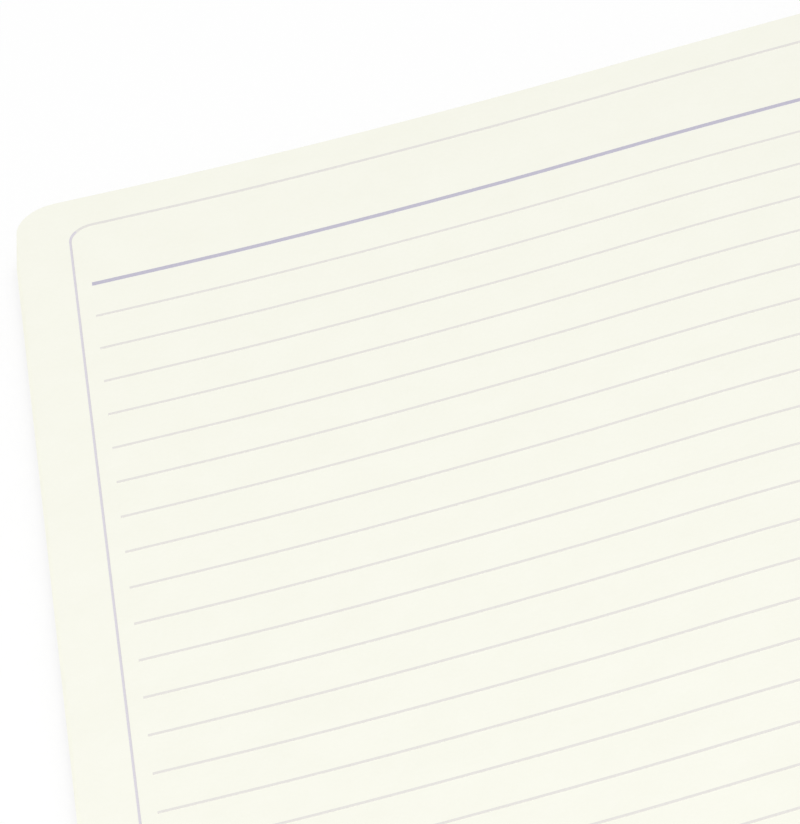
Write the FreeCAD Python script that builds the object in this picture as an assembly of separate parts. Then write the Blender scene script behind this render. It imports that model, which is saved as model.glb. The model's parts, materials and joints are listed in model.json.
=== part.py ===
import FreeCAD, Part
import os
from FreeCAD import Vector

# A centre-sewn composition notebook lying open at its middle spread.
# Millimetres. X runs across the spread, Y up the pages towards their head, Z up.
# The origin is on the table under the middle of the spine.

# Page size
page_width = 190.0
page_height = 248.0
corner_radius = 5.2

# Leaves: each half of the opened book is the same stack
leaves_per_half = 50
leaf_pitch = 0.105
fore_edge_creep = 1.3

# Covers and spine
board_thickness = 1.0
board_gap = 8.0
tape_lap = 22.0
tape_thickness = 0.3
tape_edge_gap = 0.2

# Fold and sewing: the thread runs between the two halves of the leaves
thread_diameter = 0.4
thread_clearance = 0.3
stitch_length = 10.0
stitch_inset = 9.0

# Free space left between the facing pages when the book is shut
shut_clearance = 0.3

# How the top page lies: share of the way from fore-edge to fold, rise at the
# head and tail, and the further rise at mid-height
page_profile = [
    (0.000, 0.00, 0.00),
    (0.158, -0.77, 0.82),
    (0.316, -0.61, 1.68),
    (0.474, 0.33, 2.42),
    (0.658, 1.20, 1.70),
    (0.816, 1.30, 1.10),
    (0.937, 0.20, 0.40),
    (1.000, -1.20, 0.00),
]

# How finely the page surface is laid out, and how far its tool runs past the paper
surface_columns = 39
surface_rows = 9
tool_overrun = 4.0

# Levels and places that follow from the sizes above
block_thickness = leaves_per_half * leaf_pitch
edge_level = board_thickness + block_thickness
bottom_leaf_reach = page_width + fore_edge_creep
half_height = page_height / 2
tape_width = board_gap + 2 * tape_lap
thread_radius = thread_diameter / 2
half_fold = thread_radius + thread_clearance


# Smooth curve through one column of the page profile
def profile_height(share, column):
    rows = page_profile
    last = len(rows) - 1
    slopes = []
    for i in range(last + 1):
        before = rows[max(i - 1, 0)]
        after = rows[min(i + 1, last)]
        slopes.append((after[column] - before[column]) / (after[0] - before[0]))
    if share <= rows[0][0]:
        return rows[0][column] + slopes[0] * (share - rows[0][0])
    if share >= rows[last][0]:
        return rows[last][column] + slopes[last] * (share - rows[last][0])
    i = 0
    while share > rows[i + 1][0]:
        i += 1
    span = rows[i + 1][0] - rows[i][0]
    t = (share - rows[i][0]) / span
    start = (1 + 2 * t) * (1 - t) ** 2 * rows[i][column]
    start += t * (1 - t) ** 2 * span * slopes[i]
    end = t * t * (3 - 2 * t) * rows[i + 1][column]
    end += t * t * (t - 1) * span * slopes[i + 1]
    return start + end


# Height of the top page at a distance from the spine and a place along it
def page_level(from_spine, y):
    share = 1 - from_spine / page_width
    middle = 1 - (y / half_height) ** 2
    return edge_level + profile_height(share, 1) + profile_height(share, 2) * middle


# Closed outline of a left-hand sheet: square at the spine, rounded outside
def sheet_outline(reach, inner, level):
    r = corner_radius
    k = r * (1 - 0.5 ** 0.5)
    tail = -half_height
    head = half_height
    edges = [
        Part.LineSegment(Vector(-inner, head, level), Vector(-inner, tail, level)).toShape(),
        Part.LineSegment(Vector(-inner, tail, level), Vector(-reach + r, tail, level)).toShape(),
        Part.Arc(
            Vector(-reach + r, tail, level),
            Vector(-reach + k, tail + k, level),
            Vector(-reach, tail + r, level),
        ).toShape(),
        Part.LineSegment(Vector(-reach, tail + r, level), Vector(-reach, head - r, level)).toShape(),
        Part.Arc(
            Vector(-reach, head - r, level),
            Vector(-reach + k, head - k, level),
            Vector(-reach + r, head, level),
        ).toShape(),
        Part.LineSegment(Vector(-reach + r, head, level), Vector(-inner, head, level)).toShape(),
    ]
    return Part.Wire(edges)


def mirrored(shape):
    return shape.mirror(Vector(0, 0, 0), Vector(1, 0, 0))


# Everything under the curved top page, as a solid to keep the leaves inside
def under_top_page():
    grid = []
    across = bottom_leaf_reach + tool_overrun
    along = page_height + 2 * tool_overrun
    for i in range(surface_columns):
        from_spine = across - (across + tool_overrun) * i / (surface_columns - 1)
        column = []
        for j in range(surface_rows):
            y = along * (j / (surface_rows - 1) - 0.5)
            column.append(Vector(-from_spine, y, page_level(from_spine, y)))
        grid.append(column)
    surface = Part.BSplineSurface()
    surface.interpolate(grid)
    return surface.toShape().extrude(Vector(0, 0, -2 * edge_level))


# One half of the leaves. The lowest leaf reaches furthest out at the fore-edge.
def make_left_pages():
    top = 2 * edge_level
    lean = fore_edge_creep * (top - board_thickness) / block_thickness
    low = sheet_outline(bottom_leaf_reach, half_fold, board_thickness)
    high = sheet_outline(bottom_leaf_reach - lean, half_fold, top)
    stack = Part.makeLoft([low, high], True, True)
    return stack.common(under_top_page()).Solids[0]


# A board, flush with the lowest leaf, pressed thinner where the tape covers it
def make_front_cover():
    outline = sheet_outline(bottom_leaf_reach, board_gap / 2, 0)
    board = Part.Face(outline).extrude(Vector(0, 0, board_thickness))
    rebate_width = tape_width / 2 + tape_edge_gap
    rebate = Part.makeBox(rebate_width, page_height, tape_thickness, Vector(-rebate_width, -half_height, 0))
    return board.cut(rebate).Solids[0]


# The cloth strip glued over the spine, on the outside of both boards
def make_spine_tape():
    corner = Vector(-tape_width / 2, -half_height, 0)
    return Part.makeBox(tape_width, page_height, tape_thickness, corner)


# Lockstitch through the fold: a run inside, a run outside and a leg at each hole
def make_sewing_thread():
    inside_level = page_level(0, 0) - thread_radius
    outside_level = tape_thickness + thread_radius
    sewn_length = page_height - 2 * stitch_inset
    stitches = max(1, round(sewn_length / stitch_length))
    thread = None
    for level in (inside_level, outside_level):
        start = Vector(0, -sewn_length / 2, level)
        run = Part.makeCylinder(thread_radius, sewn_length, start, Vector(0, 1, 0))
        thread = run if thread is None else thread.fuse(run)
    for i in range(stitches + 1):
        foot = Vector(0, sewn_length * (i / stitches - 0.5), outside_level)
        leg = Part.makeCylinder(thread_radius, inside_level - outside_level, foot, Vector(0, 0, 1))
        thread = thread.fuse(leg)
    return thread.Solids[0]


# The fold's axis lies just above the highest point of the two pages, so that
# they face each other across the clearance when the book is shut
def fold_axis_level():
    highest = 0
    for i in range(1001):
        highest = max(highest, page_level(page_width * i / 1000, 0))
    return highest + shut_clearance / 2


left_pages = make_left_pages()
front_cover = make_front_cover()
parts = {
    "left_pages": left_pages,
    "right_pages": mirrored(left_pages),
    "front_cover": front_cover,
    "back_cover": mirrored(front_cover),
    "spine_tape": make_spine_tape(),
    "sewing_thread": make_sewing_thread(),
}

os.makedirs("parts", exist_ok=True)
for name, shape in parts.items():
    shape.exportStep("parts/" + name + ".step")
    box = shape.optimalBoundingBox()
    print(name, "solids", len(shape.Solids), "volume", round(shape.Volume, 1), "valid", shape.isValid())
    print("  from", round(box.XMin, 3), round(box.YMin, 3), round(box.ZMin, 3))
    print("  to", round(box.XMax, 3), round(box.YMax, 3), round(box.ZMax, 3))
print("page edge level", round(edge_level, 3), "fold axis level", round(fold_axis_level(), 3))
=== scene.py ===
import bpy
import json
import math
import random
from mathutils import Matrix, Vector


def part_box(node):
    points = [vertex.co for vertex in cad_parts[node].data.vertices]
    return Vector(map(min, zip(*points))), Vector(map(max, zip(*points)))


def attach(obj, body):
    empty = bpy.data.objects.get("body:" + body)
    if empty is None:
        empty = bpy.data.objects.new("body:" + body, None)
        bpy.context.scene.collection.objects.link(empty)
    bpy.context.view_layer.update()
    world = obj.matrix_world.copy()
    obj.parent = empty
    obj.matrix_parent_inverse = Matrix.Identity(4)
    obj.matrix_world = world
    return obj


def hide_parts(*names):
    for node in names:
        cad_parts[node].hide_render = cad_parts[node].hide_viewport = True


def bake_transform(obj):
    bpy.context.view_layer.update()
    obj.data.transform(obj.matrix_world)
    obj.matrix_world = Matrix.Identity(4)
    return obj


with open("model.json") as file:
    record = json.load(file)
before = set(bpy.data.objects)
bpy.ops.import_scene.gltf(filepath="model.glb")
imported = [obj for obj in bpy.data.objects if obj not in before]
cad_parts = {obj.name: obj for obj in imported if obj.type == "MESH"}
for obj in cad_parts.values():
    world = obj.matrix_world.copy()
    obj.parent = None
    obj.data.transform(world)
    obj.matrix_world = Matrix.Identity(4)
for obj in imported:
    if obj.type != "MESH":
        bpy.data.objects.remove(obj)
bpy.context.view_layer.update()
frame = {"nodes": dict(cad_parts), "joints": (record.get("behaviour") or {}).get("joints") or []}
mm = 0.001

# What the CAD frame says about the notebook
leavesLow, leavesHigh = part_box("left_pages")
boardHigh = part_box("front_cover")[1]
tapeLow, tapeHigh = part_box("spine_tape")
threadLow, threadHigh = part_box("sewing_thread")
foldAxis = frame["joints"][0]["pos_m"][2]
foldTurn = math.radians(frame["joints"][0]["range_deg"][1])

notebook = {
    "creep": 1.3 * mm,            # how much further out the lowest leaf reaches
    "cornerRadius": 5.2 * mm,
    "cornerSteps": 8,
    "leaves": 50,                 # sheets in the block, each folded once
    "leafThickness": 0.088 * mm,  # the rest of the pitch is air between the sheets
    "blockHeight": 5.25 * mm,     # leaves at the fore-edge
    "sagGap": 0.05 * mm,          # air between the lowest sheet and the cloth
    "bendReach": 1.5 * mm,        # sheets and cloth bend this far to each side of the fold
}
pageWidth = -leavesLow.x - notebook["creep"]
halfHeight = leavesHigh.y
boardTop = boardHigh.z
gapReach = -boardHigh.x   # half the gap between the two boards
bendReach = notebook["bendReach"]
edgeLevel = boardTop + notebook["blockHeight"]
smoothBelow = math.radians(40)   # flatter edges than this are shaded smooth
uprightBelow = 0.5               # a face whose normal rises less than this is a cut edge

# How the top page lies: share of the way from fore-edge to fold, rise in mm at
# the head and tail, further rise at mid-height
pageProfile = [
    (0.000, 0.00, 0.00),
    (0.158, -0.77, 0.82),
    (0.316, -0.61, 1.68),
    (0.474, 0.33, 2.42),
    (0.658, 1.20, 1.70),
    (0.816, 1.30, 1.10),
    (0.937, 0.20, 0.40),
    (1.000, -1.20, 0.00),
]


def profileHeight(share, column):
    rows = pageProfile
    last = len(rows) - 1
    slopes = []
    for i in range(last + 1):
        before = rows[max(i - 1, 0)]
        after = rows[min(i + 1, last)]
        slopes.append((after[column] - before[column]) / (after[0] - before[0]))
    if share <= 0:
        return slopes[0] * share
    i = 0
    while i < last - 1 and share > rows[i + 1][0]:
        i += 1
    span = rows[i + 1][0] - rows[i][0]
    t = min(1, (share - rows[i][0]) / span)
    start = (1 + 2 * t) * (1 - t) ** 2 * rows[i][column] + t * (1 - t) ** 2 * span * slopes[i]
    end = t * t * (3 - 2 * t) * rows[i + 1][column] + t * t * (t - 1) * span * slopes[i + 1]
    return start + end


def pageLevel(x, y):
    share = 1 - abs(x) / pageWidth
    middle = 1 - (y / halfHeight) ** 2
    return edgeLevel + (profileHeight(share, 1) + profileHeight(share, 2) * middle) * mm


def lowestLevel(x):
    # the lowest sheet lies on the boards and sags towards the cloth between them
    share = min(1, abs(x) / gapReach)
    return boardTop - (boardTop - tapeHigh.z - notebook["sagGap"]) * (1 - share ** 2) ** 2


# Colours are sRGB hex values
def hexLinear(code):
    values = []
    for i in (0, 2, 4):
        c = int(code[i:i + 2], 16) / 255
        values.append(c / 12.92 if c <= 0.04045 else ((c + 0.055) / 1.055) ** 2.4)
    return (*values, 1)


def addNode(material, kind, inputs=None, links=None, **settings):
    tree = material.node_tree
    node = tree.nodes.new(kind)
    for name, value in settings.items():
        setattr(node, name, value)
    for name, value in (inputs or {}).items():
        node.inputs[name].default_value = value
    for name, source in (links or {}).items():
        tree.links.new(source, node.inputs[name])
    return node


def newMaterial(name):
    material = bpy.data.materials.new(name)
    material.use_nodes = True
    material.node_tree.nodes.clear()
    return material


def addSurface(material, inputs, links):
    # every finish ends in one Principled shader
    shader = addNode(material, "ShaderNodeBsdfPrincipled", inputs, links)
    addNode(material, "ShaderNodeOutputMaterial", links={"Surface": shader.outputs["BSDF"]})


def deselectAll():
    bpy.ops.object.select_all(action="DESELECT")


def pickOnly(piece):
    deselectAll()
    piece.select_set(True)
    bpy.context.view_layer.objects.active = piece


def joinPieces(pieces, name):
    deselectAll()
    for piece in pieces:
        piece.select_set(True)
    bpy.context.view_layer.objects.active = pieces[0]
    bpy.ops.object.join()
    pieces[0].name = name
    pieces[0].data.name = name
    return pieces[0]


def copyPiece(piece):
    copy = piece.copy()
    copy.data = piece.data.copy()
    bpy.context.scene.collection.objects.link(copy)
    return copy


def applyModifier(piece, kind, **settings):
    pickOnly(piece)
    modifier = piece.modifiers.new(kind.title(), kind)
    for name, value in settings.items():
        setattr(modifier, name, value)
    bpy.ops.object.modifier_apply(modifier=modifier.name)


# A flat oblong lying at level 0 between two corners, still in edit mode
def startPlane(low, high):
    deselectAll()
    bpy.ops.mesh.primitive_plane_add(size=1, location=(0, 0, 0))
    piece = bpy.context.object
    bpy.ops.object.mode_set(mode="EDIT")
    bpy.ops.mesh.select_all(action="SELECT")
    bpy.ops.transform.resize(value=(high[0] - low[0], high[1] - low[1], 1))
    bpy.ops.transform.translate(value=((low[0] + high[0]) / 2, (low[1] + high[1]) / 2, 0))
    return piece


# Cuts everything selected along columns and rows, so that it can follow the page
def cutGrid(columns, rows):
    for x in columns:
        bpy.ops.mesh.select_all(action="SELECT")
        bpy.ops.mesh.bisect(plane_co=(x, 0, 0), plane_no=(1, 0, 0))
    for y in rows:
        bpy.ops.mesh.select_all(action="SELECT")
        bpy.ops.mesh.bisect(plane_co=(0, y, 0), plane_no=(0, 1, 0))


def spread(low, high, count):
    return [low + (high - low) * i / count for i in range(1, count)]


# Columns across the fold, placed so that each strip of a sheet turns by the same
# angle when the book is shut
def foldSpread(count):
    columns = []
    for i in range(1, count):
        turned = 1 - 2 * i / count
        columns.append(-2 * bendReach * math.sin(math.asin(turned) / 3))
    return columns


# How many strips the sheets are cut into, so that they can follow the page
sheetStrips = {
    "fold": 20,   # across the part that bends
    "gap": 4,     # from there to the edge of a board
    "page": 36,   # from there to the fore-edge
    "rows": 18,   # from tail to head
    "keep": 3,    # sheets under the top one have every third cut, and all at the fold
}
gapColumns = spread(bendReach, gapReach, sheetStrips["gap"])
pageColumns = gapColumns + [gapReach] + spread(gapReach, pageWidth, sheetStrips["page"])
foldColumns = [-bendReach] + foldSpread(sheetStrips["fold"]) + [bendReach]
sheetColumns = [-x for x in reversed(pageColumns)] + foldColumns + pageColumns
sheetRows = spread(-halfHeight, halfHeight, sheetStrips["rows"])
coarseColumns = sheetColumns[1::sheetStrips["keep"]] + foldColumns
coarseRows = sheetRows[2::sheetStrips["keep"]]


# Ivory writing paper: uncoated and calendered, so matt, with a faint cloudy
# formation and fine fibres that only just break up the light
paperFinish = {
    "page": ("F7F7EB", "F9F9EE"),      # dark and light of the formation
    "edgeShadeTones": ("EBEBE5", "F0F0EB"),   # painted shade: the cut edges are a little darker and greyer than the page, for the gaps between the sheets
    "cloud": 7 * mm,                   # size of the cloudy patches seen when paper is tilted
    "fibre": 0.6 * mm,                 # length of the short fibres in the surface
    "fibreShare": 0.4,                 # of the pattern, the rest is cloud
    "toneAt": (0.35, 0.65),            # where in the pattern it is darkest and lightest
    "bump": 0.35,
    "bumpDepth": 0.02 * mm,
    "roughness": 0.9,
    "specular": 0.2,
}


def makePaper(name, tones):
    material = newMaterial(name)
    place = addNode(material, "ShaderNodeTexCoord").outputs["Object"]
    cloud = addNode(
        material, "ShaderNodeTexNoise",
        {"Scale": 1 / paperFinish["cloud"], "Detail": 3, "Roughness": 0.6}, {"Vector": place},
    )
    fibre = addNode(
        material, "ShaderNodeTexNoise",
        {"Scale": 1 / paperFinish["fibre"], "Detail": 4, "Roughness": 0.7}, {"Vector": place},
    )
    blend = addNode(
        material, "ShaderNodeMix", {"Factor": paperFinish["fibreShare"]},
        {"A": cloud.outputs["Fac"], "B": fibre.outputs["Fac"]},
    )
    tone = addNode(material, "ShaderNodeValToRGB", links={"Fac": blend.outputs[0]})
    for stop, level, code in zip(tone.color_ramp.elements, paperFinish["toneAt"], tones):
        stop.position = level
        stop.color = hexLinear(code)
    bump = addNode(
        material, "ShaderNodeBump",
        {"Strength": paperFinish["bump"], "Distance": paperFinish["bumpDepth"]},
        {"Height": fibre.outputs["Fac"]},
    )
    addSurface(
        material,
        {
            "Roughness": paperFinish["roughness"],
            "Specular IOR Level": paperFinish["specular"],
            "IOR": 1.5,
        },
        {"Base Color": tone.outputs["Color"], "Normal": bump.outputs["Normal"]},
    )
    return material


pagePaper = makePaper("ivoryWritingPaper", paperFinish["page"])
# the cut edges get a darker paper, as painted shade between the sheets
shadedCutPaper = makePaper("paintedShadeCutEdge", paperFinish["edgeShadeTones"])


# Printing ink on paper: thin and matt, laid by a ruling press, so a line breaks
# up slightly where the fibres stand proud
inkFinish = {
    "heading": ("C0BCCE", "C8C5D4"),   # where it took fully and where it is thin
    "feint": ("E4E1DD", "E9E7E3"),
    "frame": ("D8D4DD", "E0DCE3"),
    "toneAt": (0.3, 0.75),             # where in the grain it is full and thin
    "grain": 0.25 * mm,
    "roughness": 0.85,
    "specular": 0.2,
}


def makeInk(name, tones):
    material = newMaterial(name)
    place = addNode(material, "ShaderNodeTexCoord").outputs["Object"]
    grain = addNode(
        material, "ShaderNodeTexNoise",
        {"Scale": 1 / inkFinish["grain"], "Detail": 2, "Roughness": 0.5}, {"Vector": place},
    )
    tone = addNode(material, "ShaderNodeValToRGB", links={"Fac": grain.outputs["Fac"]})
    for stop, level, code in zip(tone.color_ramp.elements, inkFinish["toneAt"], tones):
        stop.position = level
        stop.color = hexLinear(code)
    addSurface(
        material, {"Roughness": inkFinish["roughness"], "Specular IOR Level": inkFinish["specular"]},
        {"Base Color": tone.outputs["Color"]},
    )
    return material


headingInk = makeInk("headingRuleInk", inkFinish["heading"])
feintInk = makeInk("feintRuleInk", inkFinish["feint"])
frameInk = makeInk("frameLineInk", inkFinish["frame"])


# One sheet of the block, folded in the middle: a flat outline cut into a grid
def startSheet(columns, rows):
    sheet = startPlane((-pageWidth, -halfHeight), (pageWidth, halfHeight))
    bpy.ops.mesh.select_mode(type="VERT")
    bpy.ops.mesh.select_all(action="SELECT")
    bpy.ops.mesh.bevel(
        offset=notebook["cornerRadius"], segments=notebook["cornerSteps"], affect="VERTICES",
    )
    cutGrid(columns, rows)
    bpy.ops.object.mode_set(mode="OBJECT")
    return sheet


# Lays a flat sheet into the block. Share is 1 for the top sheet, near 0 for the lowest.
def laySheet(sheet, share, reach, shift):
    widen = reach / pageWidth
    for vertex in sheet.data.vertices:
        x = vertex.co.x * widen
        y = vertex.co.y + shift
        top = pageLevel(min(abs(x), pageWidth), y)
        low = lowestLevel(x)
        vertex.co = (x, y, low + (top - low) * share)


def markShadedCutEdges(sheet):
    sheet.data.materials.append(pagePaper)
    sheet.data.materials.append(shadedCutPaper)
    # upright faces are the cut edges, which take the paper with painted shade
    for face in sheet.data.polygons:
        upright = abs(face.normal.z) < uprightBelow
        face.material_index = 1 if upright else 0


def finishSheets(sheet):
    applyModifier(sheet, "SOLIDIFY", thickness=notebook["leafThickness"], offset=-1)
    markShadedCutEdges(sheet)
    pickOnly(sheet)
    bpy.ops.object.shade_smooth_by_angle(angle=smoothBelow)
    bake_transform(sheet)


leafStack = {
    "seed": 11,
    "reachJitter": 0.04 * mm,   # trimming leaves the edges a little uneven
    "shiftJitter": 0.05 * mm,
}


def makeLeafStack():
    chance = random.Random(leafStack["seed"])
    pattern = startSheet(coarseColumns, coarseRows)
    sheets = []
    count = notebook["leaves"]
    for i in range(count - 1):
        sheet = copyPiece(pattern)
        creep = notebook["creep"] * (1 - i / (count - 1))
        reach = pageWidth + creep + chance.uniform(-1, 0) * leafStack["reachJitter"]
        shift = chance.uniform(-1, 1) * leafStack["shiftJitter"]
        laySheet(sheet, (i + 1) / count, reach, shift)
        sheets.append(sheet)
    bpy.data.objects.remove(pattern)
    stack = joinPieces(sheets, "leaves")
    finishSheets(stack)
    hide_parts("left_pages", "right_pages")


def makeMiddleSheet():
    sheet = startSheet(sheetColumns, sheetRows)
    laySheet(sheet, 1, pageWidth, 0)
    sheet.name = "middle_sheet"
    sheet.data.name = "middle_sheet"
    finishSheets(sheet)


makeLeafStack()
makeMiddleSheet()
print("leaves laid")


# The printed ruling, measured on the page in the photograph
ruling = {
    "frameSide": 6.61 * mm,      # frame line from the fore-edge
    "frameHead": 6.31 * mm,      # and from the head
    "frameInner": 12.0 * mm,     # and from the fold, which the photograph doesn't show
    "frameRadius": 3.14 * mm,
    "frameWidth": 0.3 * mm,      # at the sides
    "headWidth": 0.5 * mm,       # at the head and tail
    "ruleInset": 2.26 * mm,      # the rules stop short of the frame
    "headingDrop": 19.73 * mm,   # the heavy rule from the head
    "headingWidth": 0.7 * mm,
    "feintWidth": 0.44 * mm,
    "spacing": 7.1 * mm,         # college ruling
    "feintRules": 30,
    "proud": 0.042 * mm,         # the ink's face above the paper
    "depth": 0.06 * mm,          # from its face down to its underside, in the paper
}


# Lays a flat strip onto the left page, or mirrored onto the right one
def layPrint(strip, side):
    for vertex in strip.data.vertices:
        x = vertex.co.x
        y = vertex.co.y
        vertex.co = (x * side, y, pageLevel(x, y) + ruling["proud"])
    if side < 0:   # mirrored faces point the wrong way
        pickOnly(strip)
        bpy.ops.object.mode_set(mode="EDIT")
        bpy.ops.mesh.select_all(action="SELECT")
        bpy.ops.mesh.flip_normals()
        bpy.ops.object.mode_set(mode="OBJECT")


# The strips are drawn on the left page, where x runs from minus the width to 0
def makeRule(y, width, ink):
    start = -pageWidth + ruling["frameSide"] + ruling["ruleInset"]
    end = -ruling["frameInner"] - ruling["ruleInset"]
    rule = startPlane((start, y - width / 2), (end, y + width / 2))
    cutGrid([x for x in sheetColumns if start < x < end], [])
    bpy.ops.object.mode_set(mode="OBJECT")
    rule.data.materials.append(ink)
    return rule


def makeFrameLine():
    low = (-pageWidth + ruling["frameSide"], -halfHeight + ruling["frameHead"])
    high = (-ruling["frameInner"], halfHeight - ruling["frameHead"])
    line = startPlane(low, high)
    bpy.ops.mesh.select_mode(type="VERT")
    bpy.ops.mesh.select_all(action="SELECT")
    bpy.ops.mesh.bevel(
        offset=ruling["frameRadius"], segments=notebook["cornerSteps"], affect="VERTICES",
    )
    bpy.ops.mesh.select_mode(type="FACE")
    bpy.ops.mesh.select_all(action="SELECT")
    bpy.ops.mesh.inset(thickness=ruling["frameWidth"], depth=0)
    inner = high[1] - ruling["frameWidth"]
    bpy.ops.transform.resize(
        value=(1, (high[1] - ruling["headWidth"]) / inner, 1), center_override=(0, 0, 0),
    )
    bpy.ops.mesh.delete(type="FACE")   # the inset leaves the inner face selected
    columns = [x for x in sheetColumns if low[0] < x < high[0]]
    rows = [y for y in sheetRows if low[1] < y < high[1]]
    cutGrid(columns, rows)
    bpy.ops.object.mode_set(mode="OBJECT")
    # the sides are printed heavier than the head and tail
    line.data.materials.append(frameInk)
    line.data.materials.append(feintInk)
    for face in line.data.polygons:
        if abs(face.center.y) > high[1] - 2 * ruling["headWidth"]:
            face.material_index = 1
    return line


def makeRuling(name, side, body):
    strips = [makeFrameLine()]
    first = halfHeight - ruling["headingDrop"]
    strips.append(makeRule(first, ruling["headingWidth"], headingInk))
    for i in range(ruling["feintRules"]):
        strips.append(makeRule(first - (i + 1) * ruling["spacing"], ruling["feintWidth"], feintInk))
    for strip in strips:
        layPrint(strip, side)
    page = joinPieces(strips, name)
    applyModifier(page, "SOLIDIFY", thickness=ruling["depth"], offset=-1)
    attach(page, body)


makeRuling("left_page_ruling", 1, "front_half")
makeRuling("right_page_ruling", -1, "back_half")
print("ruling printed")


# Pressboard: dense dyed fibreboard, calendered matt, with short paler fibres.
# Its trimmed edge shows the undyed core.
boardFinish = {
    "face": "2B303A",
    "fleck": "424855",
    "core": "6F6A62",
    "fibre": 2.4 * mm,      # length of the fibres
    "slimness": 3,          # their length over their width
    "mottle": 6 * mm,
    "mottleShare": 0.2,     # of the pattern, the rest is fibre
    "toneAt": (0.4, 0.7),   # where in the pattern the face and the fleck are full
    "bump": 0.4,
    "bumpDepth": 0.04 * mm,
    "roughness": 0.62,
    "specular": 0.35,
}


def makePressboard():
    material = newMaterial("dyedPressboard")
    spot = addNode(material, "ShaderNodeTexCoord")
    place = spot.outputs["Object"]
    slim = boardFinish["slimness"]
    stretched = addNode(material, "ShaderNodeMapping", {"Scale": (1, slim, slim)}, {"Vector": place})
    fibre = addNode(
        material, "ShaderNodeTexNoise",
        {"Scale": 1 / boardFinish["fibre"], "Detail": 3, "Roughness": 0.6},
        {"Vector": stretched.outputs["Vector"]},
    )
    mottle = addNode(
        material, "ShaderNodeTexNoise",
        {"Scale": 1 / boardFinish["mottle"], "Detail": 2}, {"Vector": place},
    )
    both = addNode(
        material, "ShaderNodeMix", {"Factor": boardFinish["mottleShare"]},
        {"A": fibre.outputs["Fac"], "B": mottle.outputs["Fac"]},
    )
    tone = addNode(material, "ShaderNodeValToRGB", links={"Fac": both.outputs[0]})
    tones = (boardFinish["face"], boardFinish["fleck"])
    for stop, level, code in zip(tone.color_ramp.elements, boardFinish["toneAt"], tones):
        stop.position = level
        stop.color = hexLinear(code)
    # the trimmed edge is where the board's surface stands upright
    facing = addNode(material, "ShaderNodeSeparateXYZ", links={"Vector": spot.outputs["Normal"]})
    flat = addNode(material, "ShaderNodeMath", links={0: facing.outputs["Z"]}, operation="ABSOLUTE")
    trimmed = addNode(
        material, "ShaderNodeMath", {1: uprightBelow}, {0: flat.outputs[0]}, operation="LESS_THAN",
    )
    colour = addNode(
        material, "ShaderNodeMix", {"B": hexLinear(boardFinish["core"])},
        {"Factor": trimmed.outputs[0], "A": tone.outputs["Color"]}, data_type="RGBA",
    )
    bump = addNode(
        material, "ShaderNodeBump",
        {"Strength": boardFinish["bump"], "Distance": boardFinish["bumpDepth"]},
        {"Height": fibre.outputs["Fac"]},
    )
    addSurface(
        material, {"Roughness": boardFinish["roughness"], "Specular IOR Level": boardFinish["specular"]},
        {"Base Color": colour.outputs["Result"], "Normal": bump.outputs["Normal"]},
    )
    return material


pressboard = makePressboard()
for name in ("front_cover", "back_cover"):
    board = frame["nodes"][name]
    board.data.materials.clear()
    board.data.materials.append(pressboard)
print("covers finished")


# Book cloth: black plain-woven cotton, starch-filled, so it has a dull sheen
# and each thread shows
tapeCloth = {
    "yarn": "1B1B1E",
    # painted highlight on the crowns of the threads, lighter than the black yarn
    "crownHighlight": "2C2C31",
    "thread": 0.55 * mm,   # spacing of the threads, both ways
    "waver": 0.2,          # how far the threads stray from straight
    "bump": 0.7,
    "bumpDepth": 0.06 * mm,
    "roughness": 0.7,
    "specular": 0.3,
    "sheen": 0.15,
    "bendStrips": 28,      # across the part that bends
    "rowStep": 3,          # every third row of the sheets is cut in the cloth too
    "reachSteps": 40,      # how finely the drawn length of the cloth is added up
    "edgeSoftness": 0.08 * mm,
    "edgeSteps": 2,
}


def makeBookCloth():
    material = newMaterial("wovenBookCloth")
    # one unit of the cloth's own map is one thread
    flat = addNode(material, "ShaderNodeUVMap", uv_map="clothWeave").outputs["UV"]
    threads = []
    for direction in ("X", "Y"):
        # a scale of pi / 10 gives one wave to a unit
        threads.append(addNode(
            material, "ShaderNodeTexWave",
            {"Scale": math.pi / 10, "Distortion": tapeCloth["waver"], "Detail": 1},
            {"Vector": flat}, bands_direction=direction, wave_profile="SIN",
        ).outputs["Fac"])
    over = addNode(material, "ShaderNodeTexChecker", {"Scale": 1}, {"Vector": flat})
    weave = addNode(
        material, "ShaderNodeMix",
        links={"Factor": over.outputs["Fac"], "A": threads[0], "B": threads[1]},
    )
    # the weave's crowns take the painted highlight, the hollows between threads keep the yarn's own
    # black
    tone = addNode(material, "ShaderNodeValToRGB", links={"Fac": weave.outputs[0]})
    tone.color_ramp.elements[0].color = hexLinear(tapeCloth["yarn"])
    tone.color_ramp.elements[1].color = hexLinear(tapeCloth["crownHighlight"])
    bump = addNode(
        material, "ShaderNodeBump",
        {"Strength": tapeCloth["bump"], "Distance": tapeCloth["bumpDepth"]},
        {"Height": weave.outputs[0]},
    )
    addSurface(
        material,
        {
            "Roughness": tapeCloth["roughness"],
            "Specular IOR Level": tapeCloth["specular"],
            "Sheen Weight": tapeCloth["sheen"],
        },
        {"Base Color": tone.outputs["Color"], "Normal": bump.outputs["Normal"]},
    )
    return material


# How far across the cloth a place is when the shut book has drawn it round the
# fold, so that the weave is even where the spine shows it
def shutReach(x):
    inner = min(abs(x), bendReach)
    reach = abs(x) - inner
    steps = tapeCloth["reachSteps"]
    for i in range(steps):
        t = (inner * (i + 0.5) / steps + bendReach) / (2 * bendReach)
        pace = foldTurn * 6 * t * (1 - t) / (2 * bendReach) * foldAxis
        reach += math.hypot(1, pace) * inner / steps
    return math.copysign(reach, x)


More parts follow.
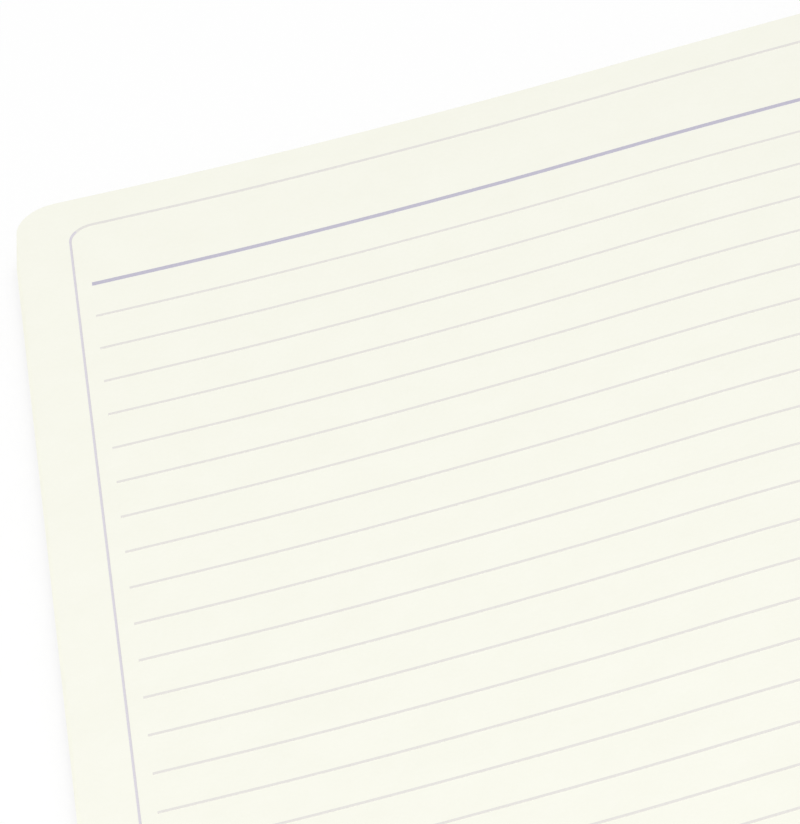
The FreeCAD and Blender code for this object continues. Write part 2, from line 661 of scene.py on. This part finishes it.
def makeSpineTape():
    tape = startPlane((tapeLow.x, tapeLow.y), (tapeHigh.x, tapeHigh.y))
    bends = foldSpread(tapeCloth["bendStrips"])
    cutGrid([-bendReach] + bends + [bendReach], sheetRows[::tapeCloth["rowStep"]])
    bpy.ops.object.mode_set(mode="OBJECT")
    for vertex in tape.data.vertices:
        vertex.co.z = tapeHigh.z
    weave = tape.data.uv_layers[0]
    weave.name = "clothWeave"
    for loop in tape.data.loops:
        spot = tape.data.vertices[loop.vertex_index].co
        across = shutReach(spot.x) / tapeCloth["thread"]
        weave.data[loop.index].uv = (across, spot.y / tapeCloth["thread"])
    applyModifier(tape, "SOLIDIFY", thickness=tapeHigh.z - tapeLow.z, offset=-1)
    applyModifier(
        tape, "BEVEL", width=tapeCloth["edgeSoftness"], segments=tapeCloth["edgeSteps"],
        limit_method="ANGLE",
    )
    pickOnly(tape)
    bpy.ops.object.shade_smooth_by_angle(angle=smoothBelow)
    tape.name = "cloth_tape"
    tape.data.name = "cloth_tape"
    tape.data.materials.append(makeBookCloth())
    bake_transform(tape)
    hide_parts("spine_tape")


makeSpineTape()
print("spine taped")


# Sewing thread: two-ply waxed cotton, twisted, so its plies show as a fine rope
sewing = {
    "colour": "EFECE2",
    "shade": "D9D5C8",
    "fuzz": 0.15 * mm,
    "bump": 0.5,
    "bumpDepth": 0.02 * mm,
    "roughness": 0.6,
    "sheen": 0.2,
    "stitchLength": 10.0 * mm,
    "plyRadius": 0.115 * mm,
    "plyOffset": 0.095 * mm,
    "turnLength": 1.3 * mm,   # one full twist of the two plies
    "sides": 6,
    "stepsPerTurn": 8,
    "smoothBelow": math.radians(60),
    "rise": 0.6,              # of its radius, from the paper to the thread's middle
    "holeGap": 0.35 * mm,     # between one stitch and the next
    "dive": 0.35 * mm,        # how far each end goes down into its hole
    "diveLength": 1.1 * mm,
    "turnReach": 100 * mm,    # far wider than the thread
}


def makeThreadFinish():
    material = newMaterial("waxedCottonThread")
    place = addNode(material, "ShaderNodeTexCoord").outputs["Object"]
    fuzz = addNode(
        material, "ShaderNodeTexNoise", {"Scale": 1 / sewing["fuzz"], "Detail": 3}, {"Vector": place},
    )
    tone = addNode(material, "ShaderNodeValToRGB", links={"Fac": fuzz.outputs["Fac"]})
    tone.color_ramp.elements[0].color = hexLinear(sewing["shade"])
    tone.color_ramp.elements[1].color = hexLinear(sewing["colour"])
    bump = addNode(
        material, "ShaderNodeBump",
        {"Strength": sewing["bump"], "Distance": sewing["bumpDepth"]},
        {"Height": fuzz.outputs["Fac"]},
    )
    addSurface(
        material, {"Roughness": sewing["roughness"], "Sheen Weight": sewing["sheen"]},
        {"Base Color": tone.outputs["Color"], "Normal": bump.outputs["Normal"]},
    )
    return material


# One ply of a stitch: a small ring swept along and round the stitch's line
def startPly(length, turnedBy):
    deselectAll()
    bpy.ops.mesh.primitive_circle_add(
        vertices=sewing["sides"], radius=sewing["plyRadius"], fill_type="NGON", location=(0, 0, 0),
    )
    ply = bpy.context.object
    bpy.ops.object.mode_set(mode="EDIT")
    bpy.ops.mesh.select_all(action="SELECT")
    bpy.ops.transform.translate(value=(sewing["plyOffset"], 0, 0))
    bpy.ops.object.mode_set(mode="OBJECT")
    turns = length / sewing["turnLength"]
    steps = round(turns * sewing["stepsPerTurn"])
    applyModifier(
        ply, "SCREW", axis="Z", angle=2 * math.pi * turns, screw_offset=length,
        steps=steps, render_steps=steps, use_merge_vertices=False,
    )
    turned = Matrix.Rotation(turnedBy, 4, "Z")
    upright = Matrix.Rotation(math.radians(-90), 4, "X")   # from along Z to along Y
    ply.data.transform(upright @ turned)
    return ply


def makeStitching():
    sewnLength = threadHigh.y - threadLow.y
    count = max(1, round(sewnLength / sewing["stitchLength"]))
    step = sewnLength / count
    length = step - sewing["holeGap"]
    pattern = joinPieces([startPly(length, 0), startPly(length, math.pi)], "stitch")
    radius = sewing["plyRadius"] + sewing["plyOffset"]
    stitches = []
    for i in range(count):
        stitch = copyPiece(pattern)
        start = threadLow.y + i * step + sewing["holeGap"] / 2
        for vertex in stitch.data.vertices:
            fromEnd = min(vertex.co.y, length - vertex.co.y)
            dive = max(0, 1 - fromEnd / sewing["diveLength"]) ** 2 * sewing["dive"]
            y = vertex.co.y + start
            vertex.co.y = y
            vertex.co.z += pageLevel(0, y) + radius * sewing["rise"] - dive
        stitches.append(stitch)
    bpy.data.objects.remove(pattern)
    stitching = joinPieces(stitches, "stitching")
    pickOnly(stitching)
    bpy.ops.object.mode_set(mode="EDIT")
    bpy.ops.mesh.select_all(action="SELECT")
    bpy.ops.mesh.fill_holes(sides=sewing["sides"])
    bpy.ops.mesh.normals_make_consistent(inside=False)
    bpy.ops.object.mode_set(mode="OBJECT")
    bpy.ops.object.shade_smooth_by_angle(angle=sewing["smoothBelow"])
    stitching.data.materials.append(makeThreadFinish())
    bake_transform(stitching)
    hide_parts("sewing_thread")


makeStitching()
print("fold sewn")


# Plain pale floor. To the camera it is white where nothing shades it, and it
# lights the notebook as a pale table would.
floorFinish = {
    "paint": 0.85,        # how pale it is to the light that falls on it
    "unlitShare": 0.55,   # how much of the white stays where the floor is in shadow
    "size": 12.0,         # metres each way
    "drop": 0.05 * mm,    # keeps it just clear of the covers
}


def makeFloor():
    deselectAll()
    bpy.ops.mesh.primitive_plane_add(size=floorFinish["size"], location=(0, 0, -floorFinish["drop"]))
    floor = bpy.context.object
    floor.name = "floor"
    material = newMaterial("plainPaleFloor")
    rays = addNode(material, "ShaderNodeLightPath")
    seen = rays.outputs["Is Camera Ray"]
    for kind in ("Is Glossy Ray", "Is Transmission Ray"):
        seen = addNode(
            material, "ShaderNodeMath", links={0: seen, 1: rays.outputs[kind]}, operation="MAXIMUM",
        ).outputs[0]
    level = floorFinish["paint"]
    painted = addNode(material, "ShaderNodeBsdfDiffuse", {"Color": (level, level, level, 1)})
    shaded = addNode(material, "ShaderNodeBsdfDiffuse", {"Color": (1, 1, 1, 1)})
    white = addNode(material, "ShaderNodeEmission", {"Color": (1, 1, 1, 1), "Strength": 1.0})
    backdrop = addNode(
        material, "ShaderNodeMixShader", {"Fac": floorFinish["unlitShare"]},
        {1: shaded.outputs["BSDF"], 2: white.outputs["Emission"]},
    )
    both = addNode(
        material, "ShaderNodeMixShader",
        links={"Fac": seen, 1: painted.outputs["BSDF"], 2: backdrop.outputs["Shader"]},
    )
    addNode(material, "ShaderNodeOutputMaterial", links={"Surface": both.outputs["Shader"]})
    floor.data.materials.append(material)


makeFloor()

# Even soft light: most of it from all round, the rest from one large soft lamp
lighting = {
    "roundAbout": 0.652,              # strength of the light from all round
    "lampPower": 48.5,
    "lampSize": 2.0,
    "lampPlace": (-0.7, -1.8, 2.5),   # in front, a little to the left
}


def makeLight():
    world = bpy.data.worlds.new("plainStudio")
    bpy.context.scene.world = world
    world.use_nodes = True
    world.node_tree.nodes.clear()
    rays = addNode(world, "ShaderNodeLightPath")
    level = lighting["roundAbout"]
    # the camera sees it plain white
    strength = addNode(
        world, "ShaderNodeMapRange", {"To Min": level, "To Max": 1.0},
        {"Value": rays.outputs["Is Camera Ray"]},
    )
    sky = addNode(
        world, "ShaderNodeBackground", {"Color": (1, 1, 1, 1)}, {"Strength": strength.outputs["Result"]},
    )
    addNode(world, "ShaderNodeOutputWorld", links={"Surface": sky.outputs["Background"]})
    lamp = bpy.data.lights.new("softLamp", "AREA")
    lamp.shape = "DISK"
    lamp.size = lighting["lampSize"]
    lamp.energy = lighting["lampPower"]
    holder = bpy.data.objects.new("softLamp", lamp)
    bpy.context.scene.collection.objects.link(holder)
    holder.location = lighting["lampPlace"]
    holder.rotation_euler = (-Vector(lighting["lampPlace"])).to_track_quat("-Z", "Y").to_euler()


makeLight()

# The photograph looks down along the pages from the tail, close in on the head
# corner of the left-hand page. The place is measured from that corner.
viewpoint = {
    "fromCorner": (81.26 * mm, -744.5 * mm, 496.42 * mm),
    "elevation": 36.0,     # degrees above the table
    "azimuth": -3.106,     # degrees off the line of the spine
    "roll": 15.607,
    "lens": 305.49,        # focal length and film width in mm
    "filmWidth": 36,
    "nearest": 0.01,       # metres, what the camera can see
    "furthest": 50,
}


def makeCamera():
    corner = Vector((-pageWidth, halfHeight, edgeLevel))
    turn = Matrix.Rotation(math.radians(-viewpoint["azimuth"]), 4, "Z")
    tilt = Matrix.Rotation(math.radians(90 - viewpoint["elevation"]), 4, "X")
    roll = Matrix.Rotation(math.radians(-viewpoint["roll"]), 4, "Z")
    place = Matrix.Translation(corner + Vector(viewpoint["fromCorner"]))
    lens = bpy.data.cameras.new("photoCamera")
    lens.lens = viewpoint["lens"]
    lens.sensor_width = viewpoint["filmWidth"]
    lens.clip_start = viewpoint["nearest"]
    lens.clip_end = viewpoint["furthest"]
    camera = bpy.data.objects.new("photoCamera", lens)
    bpy.context.scene.collection.objects.link(camera)
    camera.matrix_world = place @ turn @ tilt @ roll
    bpy.context.scene.camera = camera


makeCamera()
bpy.context.scene.view_settings.view_transform = "Standard"
print("studio ready")
